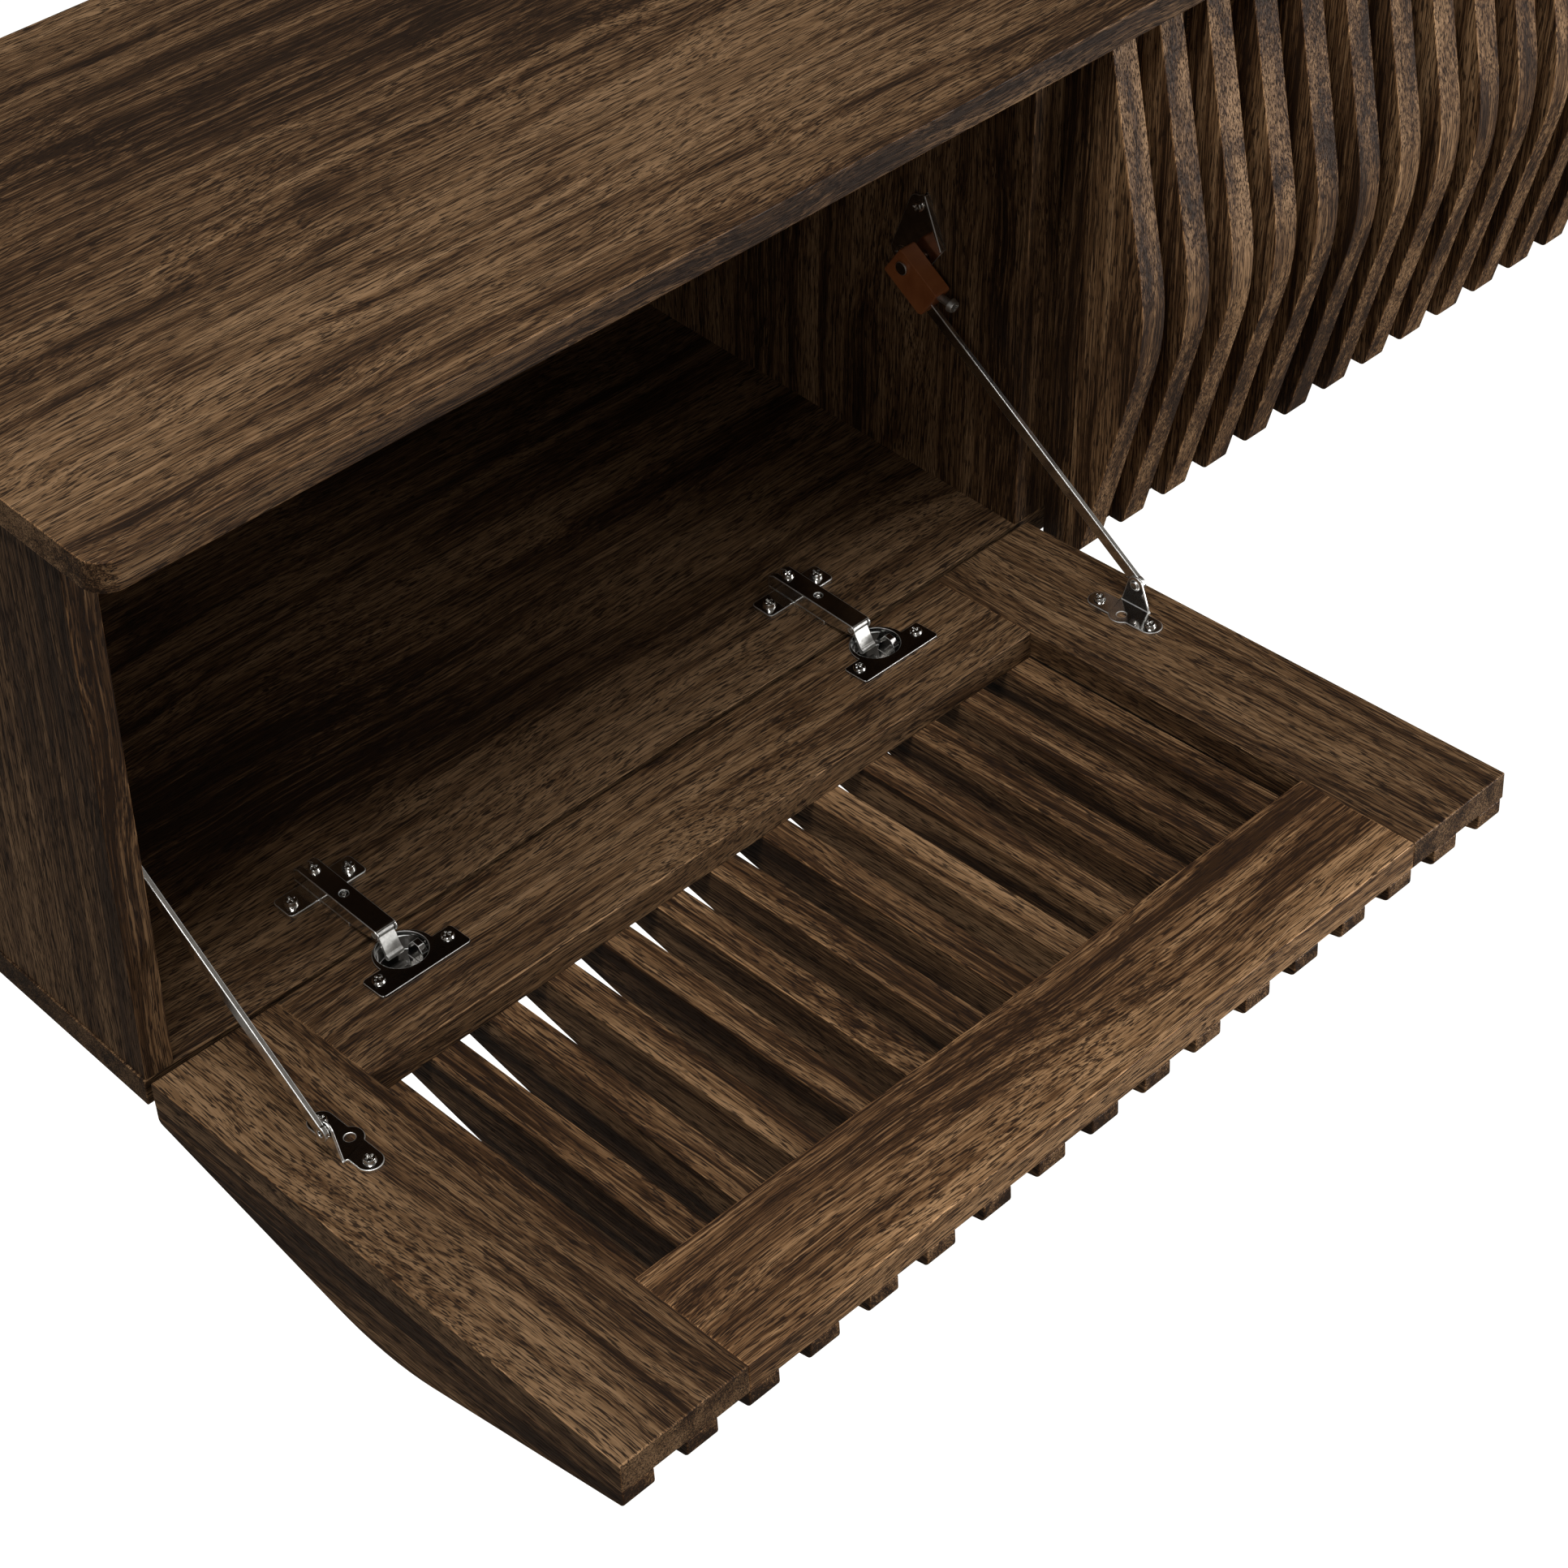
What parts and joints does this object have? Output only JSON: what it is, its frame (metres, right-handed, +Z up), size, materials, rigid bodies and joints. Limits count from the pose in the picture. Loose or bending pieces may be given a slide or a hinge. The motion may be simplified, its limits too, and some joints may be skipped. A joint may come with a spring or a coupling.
{
  "type": "shoe cabinet",
  "caption": "Wall-hung low cabinet in dark walnut with two drop-down slatted doors on cup hinges and sliding flap stays, left door open",
  "frame": {"origin": "on the wall plane, on the cabinet's centre line, at the height of the four wall screws", "axes": "X to the right seen from the front, Y from the front towards the wall, Z up; the left door is open and the right door closed at rest"},
  "size_m": [1.37, 0.7488, 0.4207],
  "materials": {
    "walnut_board": "satin",
    "walnut_slat": "satin",
    "back_board": "matte",
    "beech": "matte",
    "bright_nickel": "polished",
    "zinc": "satin",
    "brown_plastic": "matte"
  },
  "bodies": {
    "carcass": {"top_panel": "walnut_board", "bottom_panel": "walnut_board", "left_side_panel": "walnut_board", "right_side_panel": "walnut_board", "centre_divider": "walnut_board", "left_back_panel": "back_board", "right_back_panel": "back_board", "left_hanging_rail": "beech", "right_hanging_rail": "beech", "carcass_dowels": "beech", "cam_bolts": "zinc", "cam_locks": "zinc", "bottom_screws": "zinc", "hinge_plates": "bright_nickel", "hinge_plate_screws": "bright_nickel", "hinge_arm_screws": "bright_nickel", "left_outer_hinge_arm": "bright_nickel", "left_inner_hinge_arm": "bright_nickel", "right_inner_hinge_arm": "bright_nickel", "right_outer_hinge_arm": "bright_nickel", "stay_wall_brackets": "bright_nickel", "stay_wall_screws": "bright_nickel"},
    "left_door": {"left_outer_stile": "walnut_board", "left_inner_stile": "walnut_board", "left_upper_rail": "walnut_board", "left_lower_rail": "walnut_board", "left_slats": "walnut_slat", "left_door_dowels": "beech", "left_outer_hinge_cup": "bright_nickel", "left_inner_hinge_cup": "bright_nickel", "left_cup_screws": "bright_nickel", "left_door_brackets": "bright_nickel", "left_door_bracket_screws": "bright_nickel"},
    "left_hinge_links": {"left_outer_hinge_link": "zinc", "left_inner_hinge_link": "zinc"},
    "left_stay_housings": {"left_outer_stay_housing": "brown_plastic", "left_inner_stay_housing": "brown_plastic", "left_stay_adjusters": "bright_nickel"},
    "left_stay_bars": {"left_outer_stay_bar": "bright_nickel", "left_inner_stay_bar": "bright_nickel"},
    "right_door": {"right_outer_stile": "walnut_board", "right_inner_stile": "walnut_board", "right_upper_rail": "walnut_board", "right_lower_rail": "walnut_board", "right_slats": "walnut_slat", "right_door_dowels": "beech", "right_outer_hinge_cup": "bright_nickel", "right_inner_hinge_cup": "bright_nickel", "right_cup_screws": "bright_nickel", "right_door_brackets": "bright_nickel", "right_door_bracket_screws": "bright_nickel"},
    "right_hinge_links": {"right_outer_hinge_link": "zinc", "right_inner_hinge_link": "zinc"},
    "right_stay_housings": {"right_outer_stay_housing": "brown_plastic", "right_inner_stay_housing": "brown_plastic", "right_stay_adjusters": "bright_nickel"},
    "right_stay_bars": {"right_outer_stay_bar": "bright_nickel", "right_inner_stay_bar": "bright_nickel"}
  },
  "joints": [
    {"name": "left_door_hinge", "type": "hinge", "parent": "carcass", "child": "left_door", "pos_m": [-0.3385, -0.3932, -0.3184], "axis": [1, 0, 0], "range_deg": [-86, 0]},
    {"name": "left_link_hinge", "type": "hinge", "parent": "carcass", "child": "left_hinge_links", "pos_m": [-0.3385, -0.388, -0.301], "axis": [1, 0, 0], "range_deg": [0, 29.72]},
    {"name": "left_stay_pivot", "type": "hinge", "parent": "carcass", "child": "left_stay_housings", "pos_m": [-0.3385, -0.296, -0.149], "axis": [1, 0, 0], "range_deg": [0, 6.71]},
    {"name": "left_bar_slide", "type": "slide", "parent": "left_stay_housings", "child": "left_stay_bars", "axis": [0, 0.8429, 0.5381], "range_m": [0, 0.13963]},
    {"name": "right_door_hinge", "type": "hinge", "parent": "carcass", "child": "right_door", "pos_m": [0.3385, -0.3932, -0.3184], "axis": [1, 0, 0], "range_deg": [0, 86]},
    {"name": "right_link_hinge", "type": "hinge", "parent": "carcass", "child": "right_hinge_links", "pos_m": [0.3385, -0.388, -0.301], "axis": [1, 0, 0], "range_deg": [-29.72, 0]},
    {"name": "right_stay_pivot", "type": "hinge", "parent": "carcass", "child": "right_stay_housings", "pos_m": [0.3385, -0.296, -0.149], "axis": [1, 0, 0], "range_deg": [-6.71, 0]},
    {"name": "right_bar_slide", "type": "slide", "parent": "right_stay_housings", "child": "right_stay_bars", "axis": [0, 0.7743, 0.6328], "range_m": [-0.13963, 0]}
  ],
  "couplings": [
    {"joint": "left_link_hinge", "follows": "left_door_hinge", "ratio": -0.34556},
    {"joint": "left_stay_pivot", "follows": "left_door_hinge", "ratio": -0.077987},
    {"joint": "left_bar_slide", "follows": "left_door_hinge", "m_per_rad": -0.093026},
    {"joint": "right_link_hinge", "follows": "right_door_hinge", "ratio": -0.34556},
    {"joint": "right_stay_pivot", "follows": "right_door_hinge", "ratio": -0.077987},
    {"joint": "right_bar_slide", "follows": "right_door_hinge", "m_per_rad": -0.093026}
  ]
}
